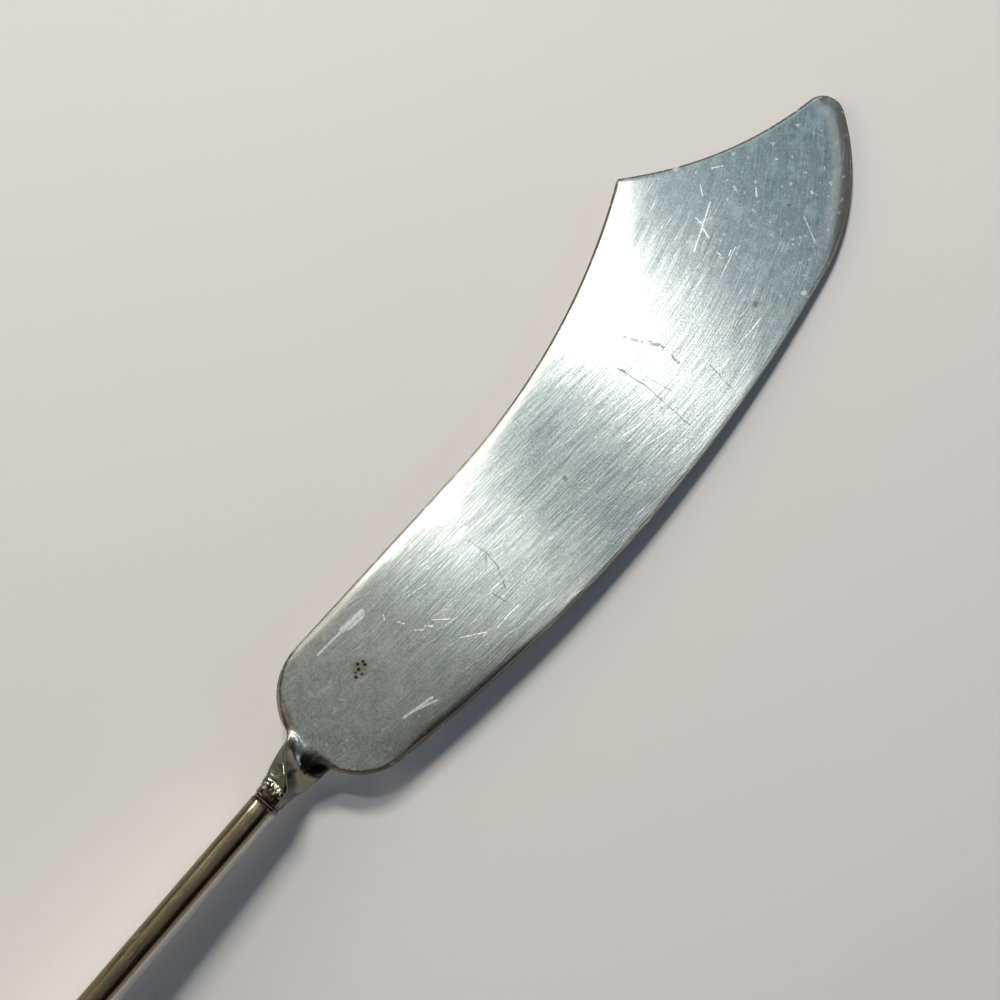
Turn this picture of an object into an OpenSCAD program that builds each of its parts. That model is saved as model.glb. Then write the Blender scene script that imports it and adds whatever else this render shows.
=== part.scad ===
// Butter knife with a sabre blade, a neck that makes a quarter turn and a handle that stands on edge.
// Lengths are millimetres. The knife lies on the plane z = 0, touching it with the tip and the butt.
// In the knife's own frame, x runs along the axis from the heel to the tip, y points to the hollow back,
// and z is up from the middle of the blade.

/* [Blade outline] */
// Length from the heel to the end of the tip
blade_len = 82.4; // [76:0.1:90]
// Height of the straight stretch of the back above the axis
back_high = 7.4; // [6.5:0.1:8.5]
// Distance from the heel to the place where the back starts to rise
back_bend = 28; // [20:0.5:34]
// Distance from the heel to the sharp corner of the back
corner_x = 61; // [56:0.5:64]
// Height of that corner above the axis
corner_high = 15.3; // [13:0.1:17]
// Radius of the hollow edge between the corner and the tip
clip_r = 40; // [34:1:80]
// Radius that rounds off the tip
tip_r = 2.1; // [1.2:0.1:2.4]
// Height of the rounded tip's centre above the axis
tip_high = 4.4; // [2.5:0.1:6]
// Radius of the upswept edge below the tip
sweep_r = 23; // [20:0.5:27]
// Depth of the belly below the axis
belly_low = 9.3; // [8.5:0.1:11]
// Distance from the heel to the deepest place of the belly
belly_x = 35; // [30:0.5:42]
// Radius of the belly's long curve
belly_r = 170; // [140:5:220]
// Radius of the rounded heel
heel_r = 6.1; // [5.2:0.1:7]
// Angle by which the blade swings to the belly's side, off the handle's axis
swing = 1.6; // [0:0.1:3]
// Height above the axis at which the swept edge touches the table, in line with the centre of mass
touch_high = 0.1; // [-0.8:0.1:0.4]

/* [Blade section] */
// Thickness of the blade between its flats
blade_t = 1.2; // [0.9:0.05:1.6]
// Height that each face loses where it rolls off to the edge
edge_drop = 0.3; // [0.1:0.05:0.4]
// Width of the rolled margin along the edge
edge_roll = 0.8; // [0.5:0.1:2]

/* [Neck] */
// Length from the heel to the soldered seam
neck_len = 5.6; // [5:0.1:9]
// Width of the neck strip
neck_w = 4.6; // [4:0.1:5.4]
// Thickness of the neck strip at the seam
neck_t = 2.6; // [2.2:0.1:2.8]
// Radius along the long corners of the neck strip
neck_corner = 0.35; // [0.1:0.05:0.6]
// Length over which the strip makes its quarter turn
twist_len = 5.4; // [4:0.1:5.8]
// Distance ahead of the heel at which the quarter turn starts
twist_ahead = 0.8; // [0:0.1:1.2]
// Radius between the side of the neck and the heel
neck_fillet = 1; // [0.5:0.1:1.5]
// Length of the neck's root inside the blade
root_len = 2.4; // [1.8:0.1:3.5]
// Length over which the strip swells from its root to its full thickness
swell_len = 5; // [4:0.1:7]

/* [Seam] */
// Diameter of the spigot on the neck
spigot_d = 1.1; // [0.8:0.05:1.2]
// Length of the spigot
spigot_len = 10; // [6:0.5:16]
// Solder gap all round the spigot and between the two end faces
solder_gap = 0.1; // [0.05:0.01:0.1]
// Radius that rounds the rims of the two end faces
seam_round = 0.3; // [0.1:0.05:0.35]
// Free depth behind the spigot's end
socket_spare = 0.5; // [0.2:0.1:2]

/* [Handle] */
// Length of the handle
handle_len = 97; // [85:1:115]
// Height by which each edge of the handle rises behind the seam
bar_rise = 0.3; // [0.1:0.05:1]
// Length of that rise
shoulder_len = 2.2; // [1.5:0.1:4]
// Thickness of the handle at the seam
bar_t = 2.5; // [2.2:0.1:3]
// Thickness of the handle at the butt
butt_t = 2; // [1.5:0.1:2.6]
// Radius of the round butt
butt_r = 8.2; // [7:0.1:10]
// Radius along the long corners of the handle
handle_corner = 0.45; // [0.1:0.05:0.6]

/* [Hidden] */
$fn = 48;

// Steps along each stretch of the outlines, and across a rolled edge
heel_steps = 14;
body_steps = 34;
tip_steps = 18;
point_steps = 7;
neck_steps = 30;
shoulder_steps = 8;
bar_steps = 16;
butt_steps = 16;
roll_steps = 5;
// Steps round each corner and along each side of the neck strip
strip_steps = 4;
// Share of a rounded end that is drawn, so that its last cross section keeps some width
end_share = 0.95;
// Share of a cross section that one rolled margin takes at most
margin_share = 0.46;
// Least sine of the angle between an edge and a cross section
least_sine = 0.05;
// Thickness of the neck's root, as a share of the blade's, so that it starts inside the blade
root_share = 0.8;
// Share of half the strip that its corner radius takes at most
corner_share = 0.9;
// Share of the rounded rims that stays free of solder
bead_share = 0.5;
// Length by which solids that are one piece run into each other
overlap = 0.6;

// Small helpers
function ease(u) = let (c = min(max(u, 0), 1)) c * c * (3 - 2 * c);
function angle_of(v) = atan2(v.y, v.x);
function arc(centre, r, from, to, steps) =
    [for (i = [0:steps]) let (a = from + (to - from) * i / steps) centre + r * [cos(a), sin(a)]];
function rest(points) = [for (i = [1:len(points) - 1]) points[i]];
function flip(points) = [for (i = [len(points) - 1:-1:0]) points[i]];
// Where two circles meet, on the left (1) or right (-1) of the way from one centre to the other
function meet(a, ra, b, rb, side) =
    let (d = norm(b - a), u = (b - a) / d, along = (ra * ra - rb * rb + d * d) / (2 * d))
    a + along * u + side * sqrt(ra * ra - along * along) * [-u.y, u.x];

// Point of the blade's plan after the swing about the middle of the heel
function swung(p) = [p.x * cos(swing) + p.y * sin(swing), p.y * cos(swing) - p.x * sin(swing)];

// Centres of the blade's arcs. Each arc touches the next without a kink, apart from the corner.
corner = [corner_x, corner_high];
rise = corner - [back_bend, back_high];
back_r = rise * rise / (2 * rise.y);
back_c = [back_bend, back_high + back_r];
tip_c = [blade_len - tip_r, tip_high];
clip_c = meet(corner, clip_r, tip_c, clip_r + tip_r, 1);
belly_c = [belly_x, belly_r - belly_low];
sweep_c = meet(belly_c, belly_r - sweep_r, tip_c, sweep_r - tip_r, -1);
heel_back_c = [heel_r, back_high - heel_r];
heel_belly_c = [heel_r, belly_c.y - sqrt(pow(belly_r - heel_r, 2) - pow(belly_x - heel_r, 2))];
belly_from = angle_of(heel_belly_c - belly_c);
belly_to = angle_of(sweep_c - belly_c);
sweep_to = angle_of(tip_c - sweep_c);
clip_from = angle_of(corner - clip_c);
clip_to = angle_of(tip_c - clip_c);
point_from = angle_of(clip_c - tip_c);
point_middle = (point_from + sweep_to) / 2;
back_turn = angle_of(corner - back_c) + 90;
straight = back_bend - heel_r;
back_run = straight + back_r * back_turn * PI / 180;

// Point of the back at a distance from the end of the heel's arc
function back_at(run) = run <= straight ? [heel_r + run, back_high]
    : let (a = (run - straight) / back_r * 180 / PI - 90) back_c + back_r * [cos(a), sin(a)];

// Both edges of the blade from the heel to the tip, in pairs of points that face each other
back_edge = concat(
    arc(heel_back_c, heel_r, 180, 90, heel_steps),
    [for (i = [1:body_steps]) back_at(back_run * i / body_steps)],
    rest(arc(clip_c, clip_r, clip_from, clip_to, tip_steps)),
    rest(arc(tip_c, tip_r, point_from, point_from + (point_middle - point_from) * end_share, point_steps)));
belly_edge = concat(
    arc(heel_belly_c, heel_r, -180, belly_from, heel_steps),
    rest(arc(belly_c, belly_r, belly_from, belly_to, body_steps)),
    rest(arc(sweep_c, sweep_r, belly_to, sweep_to, tip_steps)),
    rest(arc(tip_c, tip_r, sweep_to, sweep_to + (point_middle - sweep_to) * end_share, point_steps)));

// Places along the axis
seam_x = -neck_len;
handle_x = seam_x - solder_gap;
butt_x = handle_x - handle_len;
butt_c = [butt_x + butt_r, 0];
shoulder_high = neck_w / 2;
bar_half = shoulder_high + bar_rise;
shoulder_r = (pow(shoulder_len, 2) + pow(bar_rise, 2)) / (2 * bar_rise);
socket_d = spigot_d + 2 * solder_gap;
socket_len = spigot_len - solder_gap + socket_spare;

// How the knife lies: tipped about y until the butt and the swept edge touch the table. The blade leans to
// the belly, so that the edge runs level where it touches while the butt stands square on the table.
sweep_at = swung(sweep_c);
touch_angle = asin((touch_high - sweep_at.y) / (sweep_r - edge_roll));
touch_x = sweep_at.x + (sweep_r - edge_roll) * cos(touch_angle);
reach = touch_x - butt_c.x;
pitch = asin(butt_r / norm([reach, blade_t / 2])) - atan2(blade_t / 2, reach);
lean = -atan(tan(pitch) * tan(touch_angle));
lift = butt_r + butt_c.x * sin(pitch);
middle_x = ((swung(tip_c).x + tip_r + butt_c.x) * cos(pitch) - butt_r) / 2;
middle_y = (swung(corner).y + swung(belly_c).y - belly_r) / 2;

// How far a rounded rim draws in at a distance from its end face
function rim(d) = d < seam_round ? seam_round - sqrt(pow(seam_round, 2) - pow(seam_round - d, 2)) : 0;

// Solid between cross sections that all have the same number of points
module skin(rings) {
    count = len(rings[0]);
    last = len(rings) - 1;
    sides = [for (i = [0:last - 1], j = [0:count - 1])
        let (a = i * count + j, b = i * count + (j + 1) % count)
        each [[a, a + count, b + count], [a, b + count, b]]];
    first_cap = [for (j = [0:count - 1]) j];
    last_cap = [for (j = [count - 1:-1:0]) last * count + j];
    polyhedron(points = [for (ring = rings) each ring], faces = concat(sides, [first_cap, last_cap]));
}

// Sine of the angle between an edge and the cross section at one of its points
function crossing(edge, i, across) =
    let (a = edge[max(i - 1, 0)], b = edge[min(i + 1, len(edge) - 1)], along = (b - a) / norm(b - a))
    max(abs(along.x * across.y - along.y * across.x), least_sine);

// One rolled margin of a cross section, from the edge inwards
function margin(start, across, wide, sine, half, drop, roll) =
    let (full = roll / sine, used = min(full, margin_share * wide))
    [for (k = [0:roll_steps])
        let (s = used * (1 - cos(90 * k / roll_steps)), p = start + s * across)
        [p.x, p.y, half - drop + drop * sqrt(1 - pow(1 - s / full, 2))]];

// Cross section of a flat leaf between facing points of its two edges
function leaf_ring(left, right, i, half, drop, roll) =
    let (wide = norm(right[i] - left[i]), across = (right[i] - left[i]) / wide,
        top = concat(
            margin(left[i], across, wide, crossing(left, i, across), half, drop, roll),
            flip(margin(right[i], -across, wide, crossing(right, i, across), half, drop, roll))))
    concat(top, [for (p = flip(top)) [p.x, p.y, -p.z]]);

// Flat leaf with rolled edges; the list of halves gives half its thickness at each pair of points
module leaf(left, right, halves, drop, roll) {
    skin([for (i = [0:len(left) - 1]) leaf_ring(left, right, i, halves[i], drop, roll)]);
}

// Shape of the neck strip at a place x
fillet_from = -neck_fillet / 2;
function neck_turn(x) = lean + (90 - lean) * ease((twist_ahead - x) / twist_len);
function neck_thick(x) = blade_t * root_share
    + (neck_t - blade_t * root_share) * ease((root_len - x) / swell_len);
function neck_flare(x) = let (d = min(max(x - fillet_from, 0), neck_fillet * end_share))
    neck_fillet - sqrt(pow(neck_fillet, 2) - pow(d, 2));
// Corners and long sides of the strip, as steps round the outline
function strip_outline(wide, thick) =
    let (r = min(neck_corner, corner_share * thick / 2), a = wide / 2 - r, b = thick / 2 - r)
    concat(
        arc([a, b], r, 0, 90, strip_steps),
        [for (k = [1:strip_steps - 1]) [a - 2 * a * k / strip_steps, b + r]],
        arc([-a, b], r, 90, 180, strip_steps),
        arc([-a, -b], r, 180, 270, strip_steps),
        [for (k = [1:strip_steps - 1]) [-a + 2 * a * k / strip_steps, -b - r]],
        arc([a, -b], r, 270, 360, strip_steps));
function neck_ring(x, inset) =
    let (wide = neck_w + 2 * neck_flare(x) - 2 * inset, thick = neck_thick(x) - 2 * inset, turn = neck_turn(x))
    [for (p = strip_outline(wide, thick))
        [x, p.x * cos(turn) - p.y * sin(turn), p.x * sin(turn) + p.y * cos(turn)]];

module lying() {
    translate([-middle_x, -middle_y, lift])
        rotate([0, pitch, 0])
            children();
}

// Round bar along the axis, from x back towards the butt
module axis_bar(x, d, length) {
    translate([x, 0, 0])
        rotate([0, -90, 0])
            cylinder(d = d, h = length);
}

module blade_plate() {
    leaf(back_edge, belly_edge, [for (p = back_edge) blade_t / 2], edge_drop, edge_roll);
}

// Neck strip from its root inside the blade to the seam, with a rounded rim there
module twisted_neck() {
    run = neck_len + root_len - seam_round;
    turned = [for (i = [0:neck_steps]) neck_ring(root_len - run * i / neck_steps, 0)];
    rounded = [for (k = [1:roll_steps]) let (d = seam_round * (1 - sin(90 * k / roll_steps)))
        neck_ring(seam_x + d, rim(d))];
    skin(flip(concat(turned, rounded)));
}

module blade() {
    color("silver")
        lying()
            union() {
                rotate([lean, 0, 0])
                    rotate([0, 0, -swing])
                        blade_plate();
                twisted_neck();
                axis_bar(seam_x + overlap, spigot_d, spigot_len + overlap);
            }
}

// Upper edge of the handle from the seam to the butt
shoulder_c = [handle_x - shoulder_len, bar_half - shoulder_r];
shoulder_from = angle_of([handle_x, shoulder_high] - shoulder_c);
// Angle at which one straight line touches the shoulder's arc and the butt's
taper_at = angle_of(shoulder_c - butt_c) + acos((butt_r - shoulder_r) / norm(shoulder_c - butt_c));
taper_from = shoulder_c + shoulder_r * [cos(taper_at), sin(taper_at)];
taper_to = butt_c + butt_r * [cos(taper_at), sin(taper_at)];
handle_top = concat(
    [for (k = [0:roll_steps - 1]) let (d = seam_round * (1 - cos(90 * k / roll_steps)))
        [handle_x - d, shoulder_high - rim(d)]],
    [for (p = arc(shoulder_c, shoulder_r, shoulder_from, taper_at, shoulder_steps))
        if (p.x < handle_x - seam_round) p],
    [for (i = [1:bar_steps]) taper_from + (taper_to - taper_from) * i / bar_steps],
    rest(arc(butt_c, butt_r, taper_at, taper_at + (180 - taper_at) * end_share, butt_steps)));
handle_bottom = [for (p = handle_top) [p.x, -p.y]];
handle_halves = [for (p = handle_top) let (back = handle_x - p.x)
    (bar_t + (butt_t - bar_t) * back / handle_len) / 2 - rim(back)];

module handle() {
    color("silver")
        lying()
            difference() {
                rotate([90, 0, 0])
                    leaf(handle_bottom, handle_top, handle_halves, handle_corner, handle_corner);
                axis_bar(handle_x + overlap, socket_d, socket_len + overlap);
            }
}

// Solder between the end faces, out into the groove of the seam, and round the spigot
module solder_joint() {
    film = neck_ring(seam_x, seam_round * bead_share);
    color("gray")
        lying()
            difference() {
                union() {
                    skin([[for (p = film) [handle_x, p.y, p.z]], film]);
                    axis_bar(seam_x - solder_gap / 2, socket_d, spigot_len - solder_gap / 2);
                }
                axis_bar(seam_x + overlap, spigot_d, spigot_len + 2 * overlap);
            }
}

blade();
handle();
solder_joint();
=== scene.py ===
# %% [markdown]
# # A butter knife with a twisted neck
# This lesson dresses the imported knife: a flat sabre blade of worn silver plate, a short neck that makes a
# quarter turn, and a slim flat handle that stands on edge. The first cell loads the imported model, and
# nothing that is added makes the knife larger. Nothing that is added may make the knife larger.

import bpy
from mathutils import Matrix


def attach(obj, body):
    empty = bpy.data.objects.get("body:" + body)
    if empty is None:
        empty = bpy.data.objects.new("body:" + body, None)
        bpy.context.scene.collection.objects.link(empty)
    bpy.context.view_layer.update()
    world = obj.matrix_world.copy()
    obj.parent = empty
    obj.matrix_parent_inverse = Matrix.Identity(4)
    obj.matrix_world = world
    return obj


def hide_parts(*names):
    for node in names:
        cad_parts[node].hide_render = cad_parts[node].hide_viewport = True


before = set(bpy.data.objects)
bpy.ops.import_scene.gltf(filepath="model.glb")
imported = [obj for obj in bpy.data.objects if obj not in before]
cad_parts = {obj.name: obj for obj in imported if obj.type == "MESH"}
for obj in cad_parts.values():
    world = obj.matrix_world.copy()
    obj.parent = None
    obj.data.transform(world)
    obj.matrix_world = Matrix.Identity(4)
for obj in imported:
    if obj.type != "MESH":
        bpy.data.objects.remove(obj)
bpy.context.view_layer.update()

import math

import bmesh
import bpy
import numpy as np
from mathutils import Matrix, Vector

mm = 0.001

# %% [markdown]
# ## Camera
# The picture looks down on the blade from close by, from the handle's end and a little to the belly's side.
# The place and the angle come from fitting the blade's outline. A lens of 54 mm on a 36 mm sensor gives a
# square picture in which the handle runs out at the lower corner.

# %% Camera
scene = bpy.context.scene
scene.view_settings.view_transform = "Standard"
azimuth, elevation = math.radians(-50.16), math.radians(80.0)
camera = bpy.data.objects.new("camera", bpy.data.cameras.new("camera"))
camera.data.sensor_width, camera.data.lens = 36.0, 54.0
camera.data.clip_start = 0.005
camera.location = (20.47 * mm, -15.59 * mm, 142.24 * mm)
level = math.cos(elevation)
away = Vector((math.sin(azimuth) * level, -math.cos(azimuth) * level, math.sin(elevation)))
camera.rotation_euler = (-away).to_track_quat("-Z", "Y").to_euler()
scene.collection.objects.link(camera)
scene.camera = camera
print("camera", [round(v, 4) for v in camera.location])

# %% [markdown]
# ## Node helpers
# Every finish below is a small net of shader nodes. A few helpers keep it readable: one adds a node and fills
# its sockets from a dictionary, the others add the kinds of node that come up again and again.

# %% Node helpers
def add(tree, kind, inputs=None, **settings):
    made = tree.nodes.new("ShaderNode" + kind)
    for name, value in settings.items():
        setattr(made, name, value)
    for key, value in (inputs or {}).items():
        if isinstance(value, bpy.types.NodeSocket):
            tree.links.new(value, made.inputs[key])
        else:
            made.inputs[key].default_value = value
    return made


def maths(tree, operation, a, b=0.0):
    return add(tree, "Math", {0: a, 1: b}, operation=operation).outputs[0]


def times(tree, a, b):
    return maths(tree, "MULTIPLY", a, b)


def plus(tree, a, b):
    return maths(tree, "ADD", a, b)


def greatest(tree, values):
    top = values[0]
    for value in values[1:]:
        top = maths(tree, "MAXIMUM", top, value)
    return top


def between(tree, value, low, high, to_low=0.0, to_high=1.0):
    """Smooth change from to_low to to_high while the value goes from low to high."""
    inputs = {"Value": value, "From Min": low, "From Max": high, "To Min": to_low, "To Max": to_high}
    return add(tree, "MapRange", inputs, interpolation_type="SMOOTHSTEP").outputs[0]


def noise(tree, place, scale, detail=2.0, roughness=0.5):
    inputs = {"Vector": place, "Scale": scale, "Detail": detail, "Roughness": roughness}
    return add(tree, "TexNoise", inputs).outputs["Fac"]


def blend(tree, factor, a, b, kind="MIX"):
    """Colour a where the factor is 0, colour b where it is 1."""
    made = add(tree, "Mix", {"Factor": factor}, data_type="RGBA", blend_type=kind)
    for socket, value in ((made.inputs[6], a), (made.inputs[7], b)):
        if isinstance(value, bpy.types.NodeSocket):
            tree.links.new(value, socket)
        else:
            socket.default_value = (*value, 1.0)
    return made.outputs[2]


def new_material(name):
    made = bpy.data.materials.new(name)
    made.use_nodes = True
    tree = made.node_tree
    return made, tree, tree.nodes["Principled BSDF"]


# %% [markdown]
# ## Floor
# The knife lies on a sheet of pale paper. A plain grid is enough for it, with a colour that clouds a little.
# It stays just below the lowest point of the knife, so that the two never share a plane. The lamps are small,
# so far from the knife the paper would turn dark. There the eye and the metal see a plain pale tone in its
# place, which lights nothing, and the paper round the knife keeps its shadows.

# %% Floor mesh
floor_half = 0.9
floor_drop = 0.05 * mm
floor_mesh = bmesh.new()
bmesh.ops.create_grid(floor_mesh, x_segments=4, y_segments=4, size=floor_half)
bmesh.ops.translate(floor_mesh, verts=floor_mesh.verts, vec=(0, 0, -floor_drop))
floor_data = bpy.data.meshes.new("floor")
floor_mesh.to_mesh(floor_data)
floor_mesh.free()
floor = bpy.data.objects.new("floor", floor_data)
scene.collection.objects.link(floor)
print("floor", [round(v, 2) for v in floor.dimensions])

# %% Paper
black = (0.0, 0.0, 0.0)
pale_around = (0.62, 0.605, 0.58)
paper_dark, paper_light = (0.735, 0.705, 0.665), (0.785, 0.755, 0.715)
paper_until, tone_from = 0.125, 0.30


def seen_rays(tree):
    """1 for rays of the camera, of gloss and of glass, 0 for rays that only carry light."""
    rays = add(tree, "LightPath").outputs
    return greatest(tree, [rays["Is Camera Ray"], rays["Is Glossy Ray"], rays["Is Transmission Ray"]])


paper, tree, shader = new_material("pale_paper")
place = add(tree, "TexCoord").outputs["Object"]
cloud = noise(tree, place, 14.0, 3.0)
away_from_knife = add(tree, "VectorMath", {0: place}, operation="LENGTH").outputs["Value"]
far = times(tree, between(tree, away_from_knife, paper_until, tone_from), seen_rays(tree))
colour = blend(tree, cloud, paper_dark, paper_light)
tree.links.new(blend(tree, far, colour, black), shader.inputs["Base Color"])
tree.links.new(far, shader.inputs["Emission Strength"])
shader.inputs["Emission Color"].default_value = (*pale_around, 1.0)
shader.inputs["Roughness"].default_value = 0.85
shader.inputs["Specular IOR Level"].default_value = 0.2
floor_data.materials.append(paper)
print("paper", len(tree.nodes), "nodes")

# %% [markdown]
# ## Lamps
# Brushed silver turns each small lamp into a bright band across the blade. The band lies where the lamp and
# the eye lean equally far off the grain, one ahead and one behind, so a lamp's place along x sets where its
# band falls, and its place along y sets how the band fades to the belly. Two slim lamps stand on the side of
# the hollow back: the key makes the wide band below the corner, and the second the fainter one nearer the
# heel. A large warm panel behind the handle, on the side of the back, lights the rounded edges and softens
# the shadows. A small cool panel faces it and leaves the blue glints on the neck.

# %% Lamps
lamp_white, lamp_warm, lamp_cool = (1.0, 0.985, 0.95), (1.0, 0.91, 0.80), (0.55, 0.82, 1.0)


def panel(name, place, aim_x, size, watts, colour):
    """Area lamp aimed at a point of the x axis, its long side along y as far as its direction allows."""
    lamp = bpy.data.lights.new(name, "AREA")
    lamp.shape, lamp.size, lamp.size_y = "RECTANGLE", size[0], size[1]
    lamp.energy, lamp.color = watts, colour
    made = bpy.data.objects.new(name, lamp)
    made.location = place
    back = (Vector(place) - Vector((aim_x, 0, 0))).normalized()
    long = (Vector((0, 1, 0)) - back * back.y).normalized()
    made.rotation_euler = Matrix((long.cross(back), long, back)).transposed().to_euler()
    scene.collection.objects.link(made)


panel("key", (0.181, 0.168, 0.30), aim_x=0.05, size=(0.006, 0.094), watts=0.74, colour=lamp_white)
panel("second", (0.116, 0.175, 0.40), aim_x=0.03, size=(0.023, 0.05), watts=0.31, colour=lamp_white)
panel("warm_side", (-0.40, 0.50, 0.35), aim_x=0.02, size=(0.50, 0.50), watts=1.8, colour=lamp_warm)
panel("cool_side", (0.22, -0.25, 0.25), aim_x=0.03, size=(0.10, 0.10), watts=0.07, colour=lamp_cool)

# %% [markdown]
# ## Room
# Polished metal also shows the room. This one is dim and warm behind the handle and cooler beyond the tip. On
# the side of the back it has a warm glow, and on the side of the belly it is dark, which deepens the black
# patch on the neck. Low round the horizon it is as pale as the far paper. The camera and the metal see that
# room, while the floor gets an even, weaker fill from it, which keeps the shadows deep. Each tone below comes
# with the x part of its direction. A colour ramp starts at 0, so a half is added to that.

# %% Room
room_tones = [
    (-0.12, (0.018, 0.014, 0.009)),
    (0.07, (0.27, 0.286, 0.263)),
    (0.19, (0.305, 0.40, 0.395)),
    (0.30, (0.215, 0.33, 0.352)),
    (0.45, (0.108, 0.235, 0.298)),
    (0.60, (0.075, 0.178, 0.235)),
]
ramp_half = 0.5
glow_tone, glow_most = (1.0, 0.92, 0.78), 0.45
belly_dark = (0.012, 0.010, 0.008)
room_fill = (0.075, 0.092, 0.125)
room = bpy.data.worlds.new("room")
scene.world = room
room.use_nodes = True
tree = room.node_tree
way = add(tree, "SeparateXYZ", {0: add(tree, "TexCoord").outputs["Generated"]}).outputs
ramp = add(tree, "ValToRGB", {"Fac": plus(tree, way["X"], ramp_half)})
stops = ramp.color_ramp.elements
while len(stops) < len(room_tones):
    stops.new(ramp_half)
for stop, (x_part, tone) in zip(stops, room_tones):
    stop.position, stop.color = x_part + ramp_half, (*tone, 1.0)
glow_start = between(tree, way["Y"], 0.07, 0.33)
glow_end = between(tree, way["Y"], 0.40, 0.70, glow_most, 0.0)
glow = blend(tree, times(tree, glow_start, glow_end), black, glow_tone)
tones = blend(tree, 1.0, ramp.outputs["Color"], glow, "ADD")
tones = blend(tree, between(tree, way["Y"], -0.22, 0.10), belly_dark, tones)
tones = blend(tree, between(tree, way["Z"], 0.20, 0.40), pale_around, tones)
tree.links.new(blend(tree, seen_rays(tree), room_fill, tones), tree.nodes["Background"].inputs["Color"])
print("room tones", len(room_tones))

# %% [markdown]
# ## The knife's sizes
# These are the sizes of the solid model, in millimetres. The knife's own frame has x along the handle's axis
# towards the tip, y to the hollow back and z up. The blade swings a little to the belly, leans a little too,
# and the whole knife lies tipped on its butt, so three small turns bring a point of the blade to the table.
# The dressed knife is made a hair smaller, so that it never stands out of the solid model's box.

# %% Sizes
blade_len, back_high, back_bend, corner_x, corner_high = 82.4, 7.4, 28.0, 61.0, 15.3
clip_r, tip_r, tip_high, sweep_r = 40.0, 2.1, 4.4, 23.0
belly_low, belly_x, belly_r, heel_r = 9.3, 35.0, 170.0, 6.1
blade_t, edge_drop = 1.2, 0.3
neck_len, neck_w, neck_t, neck_corner = 5.6, 4.6, 2.6, 0.35
twist_len, twist_ahead, neck_fillet, fold_from, fold_len = 5.4, 0.8, 1.0, -0.8, 3.0
spigot_d, spigot_len, socket_spare, solder_gap, seam_round = 1.1, 10.0, 0.4, 0.1, 0.3
handle_len, bar_rise, shoulder_len, bar_t, butt_t, butt_r = 97.0, 0.3, 2.2, 2.5, 2.0, 8.2
swing, lean, pitch = math.radians(1.6), math.radians(2.1645), math.radians(2.4906)
lies_at = (10.0986, -1.6255, 4.0934)
seam_x = -neck_len
handle_x = seam_x - solder_gap
lying = Matrix.Translation(lies_at) @ Matrix.Rotation(pitch, 4, "Y")
hair_smaller = 0.9998
to_metres = mm * hair_smaller
print("seam at", seam_x, "mm, handle from", round(handle_x, 2), "mm")


# %% [markdown]
# ## Outlines
# The blade's two edges are chains of arcs that touch without a kink. A metal worker would draw them with
# compasses, and the same is done here: each arc gives a few dozen points, and the two edges get equally many,
# so that they face each other in pairs from the seam to the tip. Just before the point both stop, and the
# small gap between them is closed later.

# %% Outline helpers
def arc(centre, radius, start, end, steps):
    turn = np.linspace(start, end, steps + 1)
    return np.c_[centre[0] + radius * np.cos(turn), centre[1] + radius * np.sin(turn)]


def straight(a, b, steps):
    return np.linspace(a, b, steps + 1)


def angle_of(v):
    return math.atan2(v[1], v[0])


def meet(a, ra, b, rb, side):
    """The point on one side of the line from a to b that lies ra from a and rb from b."""
    way = b - a
    far = np.hypot(*way)
    way = way / far
    along = (ra * ra - rb * rb + far * far) / (2 * far)
    return a + along * way + side * math.sqrt(ra * ra - along * along) * np.array([-way[1], way[0]])


def chain(*parts):
    return np.vstack([parts[0]] + [part[1:] for part in parts[1:]])


# %% Centres of the blade's arcs
half_w = neck_w / 2
corner = np.array([corner_x, corner_high])
rise = corner - np.array([back_bend, back_high])
back_r = rise @ rise / (2 * rise[1])
back_c = np.array([back_bend, back_high + back_r])
tip_c = np.array([blade_len - tip_r, tip_high])
clip_c = meet(corner, clip_r, tip_c, clip_r + tip_r, 1)
belly_c = np.array([belly_x, belly_r - belly_low])
sweep_c = meet(belly_c, belly_r - sweep_r, tip_c, sweep_r - tip_r, -1)
heel_back_c = np.array([heel_r, back_high - heel_r])
heel_drop = math.sqrt((belly_r - heel_r) ** 2 - (belly_x - heel_r) ** 2)
heel_belly_c = np.array([heel_r, belly_c[1] - heel_drop])


def fillet_to(heel_c, side):
    """Centre of the fillet between neck and heel, and the angle at which the heel's arc starts."""
    high = side * (half_w + neck_fillet) - heel_c[1]
    centre = heel_c + np.array([-math.sqrt((heel_r + neck_fillet) ** 2 - high * high), high])
    return centre, angle_of(centre - heel_c)


back_fillet, back_start = fillet_to(heel_back_c, 1)
belly_fillet, belly_start = fillet_to(heel_belly_c, -1)
print("back's radius", round(float(back_r), 1), "mm")

# %% Blade outline
neck_steps, fillet_steps, heel_steps, straight_steps, bend_steps = 40, 8, 22, 36, 60
clip_steps, tip_steps, tip_share = 44, 14, 0.96
belly_from, belly_to = angle_of(heel_belly_c - belly_c), angle_of(sweep_c - belly_c)
sweep_to, point_from = angle_of(tip_c - sweep_c), angle_of(clip_c - tip_c)
point_middle = (point_from + sweep_to) / 2
long_back = chain(
    straight((heel_r, back_high), (back_bend, back_high), straight_steps),
    arc(back_c, back_r, -math.pi / 2, angle_of(corner - back_c), bend_steps),
)
back_side = chain(
    straight((seam_x, half_w), (back_fillet[0], half_w), neck_steps),
    arc(back_fillet, neck_fillet, -math.pi / 2, back_start - math.pi, fillet_steps),
    arc(heel_back_c, heel_r, back_start, math.pi / 2, heel_steps),
    long_back,
    arc(clip_c, clip_r, angle_of(corner - clip_c), angle_of(tip_c - clip_c), clip_steps),
    arc(tip_c, tip_r, point_from, point_from + (point_middle - point_from) * tip_share, tip_steps),
)
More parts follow.
